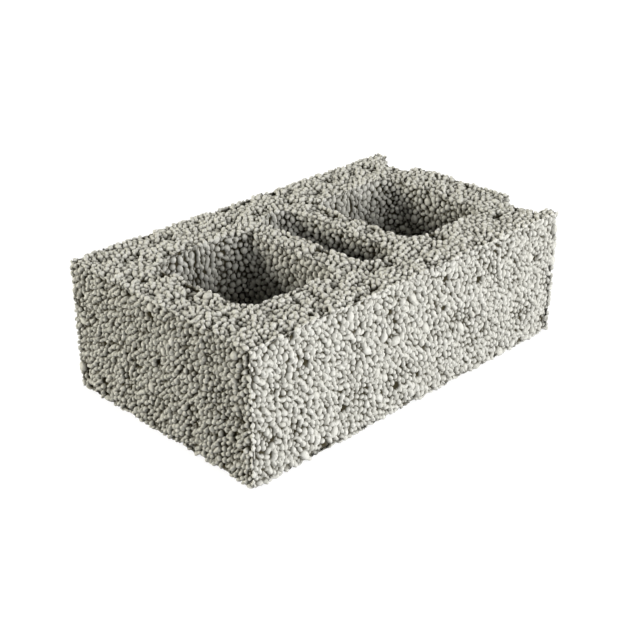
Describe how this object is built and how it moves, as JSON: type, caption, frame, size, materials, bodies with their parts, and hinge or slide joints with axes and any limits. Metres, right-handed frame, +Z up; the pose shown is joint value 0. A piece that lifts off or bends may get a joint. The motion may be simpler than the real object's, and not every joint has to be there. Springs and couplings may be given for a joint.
{
  "type": "hollow concrete block",
  "caption": "Rectangular lightweight concrete wall block with open upright cores, a slot between its webs, one flat end and one end with vertical grooves for mortar.",
  "frame": {"origin": "middle of the underside, as the block lies on its bed face", "axes": "+X along the length from the flat end to the grooved end, +Y across the width, +Z up through the cores"},
  "size_m": [0.59, 0.35, 0.19],
  "materials": {
    "concrete": "rough, open-textured concrete of rounded cement-coated grains"
  },
  "bodies": {
    "root": {"hollow_block": "concrete"}
  },
  "joints": []
}
